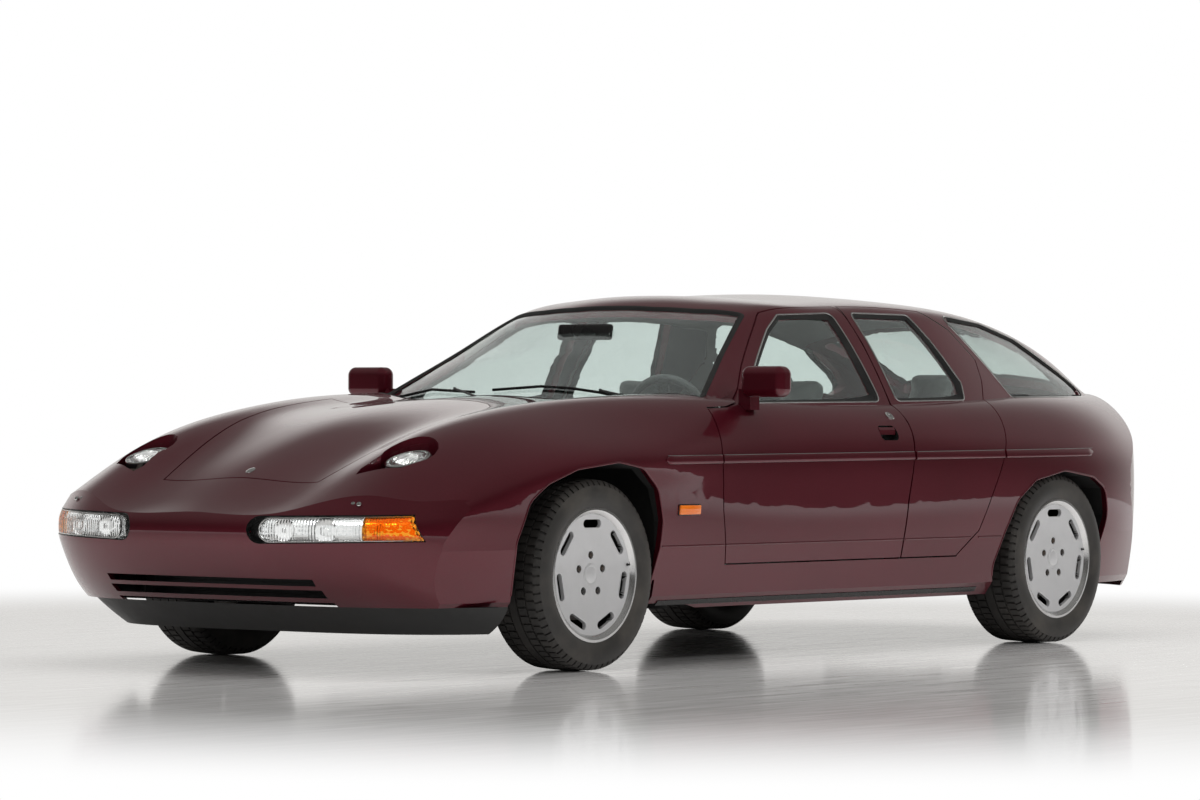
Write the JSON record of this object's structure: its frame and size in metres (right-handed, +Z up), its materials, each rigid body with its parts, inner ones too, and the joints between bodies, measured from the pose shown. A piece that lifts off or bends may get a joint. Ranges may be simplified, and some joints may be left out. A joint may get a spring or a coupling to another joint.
{
  "type": "prototype sports sedan",
  "caption": "Low stretched sports sedan with a long bonnet, pop-up round lamps, clamshell doors, sloping glass tailgate and slotted disc wheels, in dark wine metallic paint",
  "frame": {"origin": "on the ground, midway between nose and tail, on the centre line", "axes": "+X forward, +Y to the left side of the car, +Z up"},
  "size_m": [4.7703, 1.97, 1.2862],
  "materials": {
    "body_paint": "dark wine metallic gloss",
    "glazing": "lightly tinted",
    "tyre_rubber": "matt black",
    "wheel_silver": "silver paint over a machined rim",
    "cast_steel": "as cast",
    "disc_steel": "turned",
    "underbody": "black underseal",
    "leather": "dark grey-green",
    "trim_black": "grained black",
    "exhaust_steel": "dull",
    "lamp_body": "dark",
    "lens_clear": "fluted",
    "lens_amber": "amber",
    "lens_red": "red"
  },
  "bodies": {
    "body": {"body_side_left": "body_paint", "body_side_right": "body_paint", "dashboard": "trim_black", "drivetrain": "cast_steel", "exhaust": "exhaust_steel", "floor_pan": "underbody", "front_bumper": "body_paint", "front_lamps": "lens_clear", "front_seats": "leather", "front_wings": "body_paint", "headlamp_wells": "body_paint", "indicators": "lens_amber", "lamp_housings": "trim_black", "quarter_windows": "glazing", "rear_bumper": "body_paint", "rear_knuckles": "cast_steel", "rear_seats": "leather", "roof": "body_paint", "scuttle": "trim_black", "suspension": "cast_steel", "tail_lamps": "lens_red", "tail_panel": "body_paint", "valance": "trim_black", "wheelhouses": "underbody", "windscreen": "glazing", "wipers": "trim_black"},
    "front_door_left": {"front_door_left": "body_paint", "front_door_glass_left": "glazing", "mirror_left": "body_paint"},
    "front_door_right": {"front_door_right": "body_paint", "front_door_glass_right": "glazing", "mirror_right": "body_paint"},
    "rear_door_left": {"rear_door_left": "body_paint", "rear_door_glass_left": "glazing"},
    "rear_door_right": {"rear_door_right": "body_paint", "rear_door_glass_right": "glazing"},
    "bonnet": {"bonnet": "body_paint"},
    "tailgate": {"tailgate": "body_paint", "tailgate_glass": "glazing"},
    "headlamp_left": {"headlamp_left": "lamp_body"},
    "headlamp_right": {"headlamp_right": "lamp_body"},
    "knuckle_left": {"front_knuckle_left": "cast_steel"},
    "knuckle_right": {"front_knuckle_right": "cast_steel"},
    "steering_wheel": {"steering_wheel": "trim_black"},
    "wheel_front_left": {"tyre_front_left": "tyre_rubber", "wheel_front_left": "wheel_silver", "brake_disc_front_left": "disc_steel"},
    "wheel_front_right": {"tyre_front_right": "tyre_rubber", "wheel_front_right": "wheel_silver", "brake_disc_front_right": "disc_steel"},
    "wheel_rear_left": {"tyre_rear_left": "tyre_rubber", "wheel_rear_left": "wheel_silver", "brake_disc_rear_left": "disc_steel"},
    "wheel_rear_right": {"tyre_rear_right": "tyre_rubber", "wheel_rear_right": "wheel_silver", "brake_disc_rear_right": "disc_steel"}
  },
  "joints": [
    {"name": "front_door_left_hinge", "type": "hinge", "parent": "body", "child": "front_door_left", "pos_m": [0.725, 0.912, 0.6], "axis": [0, 0, -1], "range_deg": [0, 65]},
    {"name": "rear_door_left_hinge", "type": "hinge", "parent": "body", "child": "rear_door_left", "pos_m": [-1.12, 0.912, 0.6], "axis": [0, 0, 1], "range_deg": [0, 65]},
    {"name": "front_door_right_hinge", "type": "hinge", "parent": "body", "child": "front_door_right", "pos_m": [0.725, -0.912, 0.6], "axis": [0, 0, 1], "range_deg": [0, 65]},
    {"name": "rear_door_right_hinge", "type": "hinge", "parent": "body", "child": "rear_door_right", "pos_m": [-1.12, -0.912, 0.6], "axis": [0, 0, -1], "range_deg": [0, 65]},
    {"name": "bonnet_hinge", "type": "hinge", "parent": "body", "child": "bonnet", "pos_m": [1.088, 0, 0.89], "axis": [0, -1, 0], "range_deg": [0, 60]},
    {"name": "tailgate_hinge", "type": "hinge", "parent": "body", "child": "tailgate", "pos_m": [-1.64, 0, 1.222], "axis": [0, 1, 0], "range_deg": [0, 65]},
    {"name": "headlamp_left_tilt", "type": "hinge", "parent": "body", "child": "headlamp_left", "pos_m": [2.06, 0.545, 0.64], "axis": [0, 1, 0], "range_deg": [0, 70]},
    {"name": "headlamp_right_tilt", "type": "hinge", "parent": "body", "child": "headlamp_right", "pos_m": [2.06, -0.545, 0.64], "axis": [0, 1, 0], "range_deg": [0, 70]},
    {"name": "steer_left", "type": "hinge", "parent": "body", "child": "knuckle_left", "pos_m": [1.375, 0.776, 0.3155], "axis": [0, 0, 1], "range_deg": [-35, 35]},
    {"name": "wheel_front_left_spin", "type": "hinge", "parent": "knuckle_left", "child": "wheel_front_left", "pos_m": [1.375, 0.776, 0.3155], "axis": [0, 1, 0], "continuous": true},
    {"name": "wheel_rear_left_spin", "type": "hinge", "parent": "body", "child": "wheel_rear_left", "pos_m": [-1.375, 0.773, 0.3135], "axis": [0, 1, 0], "continuous": true},
    {"name": "steer_right", "type": "hinge", "parent": "body", "child": "knuckle_right", "pos_m": [1.375, -0.776, 0.3155], "axis": [0, 0, 1], "range_deg": [-35, 35]},
    {"name": "wheel_front_right_spin", "type": "hinge", "parent": "knuckle_right", "child": "wheel_front_right", "pos_m": [1.375, -0.776, 0.3155], "axis": [0, 1, 0], "continuous": true},
    {"name": "wheel_rear_right_spin", "type": "hinge", "parent": "body", "child": "wheel_rear_right", "pos_m": [-1.375, -0.773, 0.3135], "axis": [0, 1, 0], "continuous": true},
    {"name": "steering_wheel_turn", "type": "hinge", "parent": "body", "child": "steering_wheel", "pos_m": [0.3, 0.37, 0.787], "axis": [-0.9607, 0, 0.2775], "range_deg": [-420, 420]}
  ],
  "couplings": [
    {"joint": "steer_right", "follows": "steer_left", "ratio": 1},
    {"joint": "headlamp_right_tilt", "follows": "headlamp_left_tilt", "ratio": 1},
    {"joint": "steering_wheel_turn", "follows": "steer_left", "ratio": 12}
  ]
}
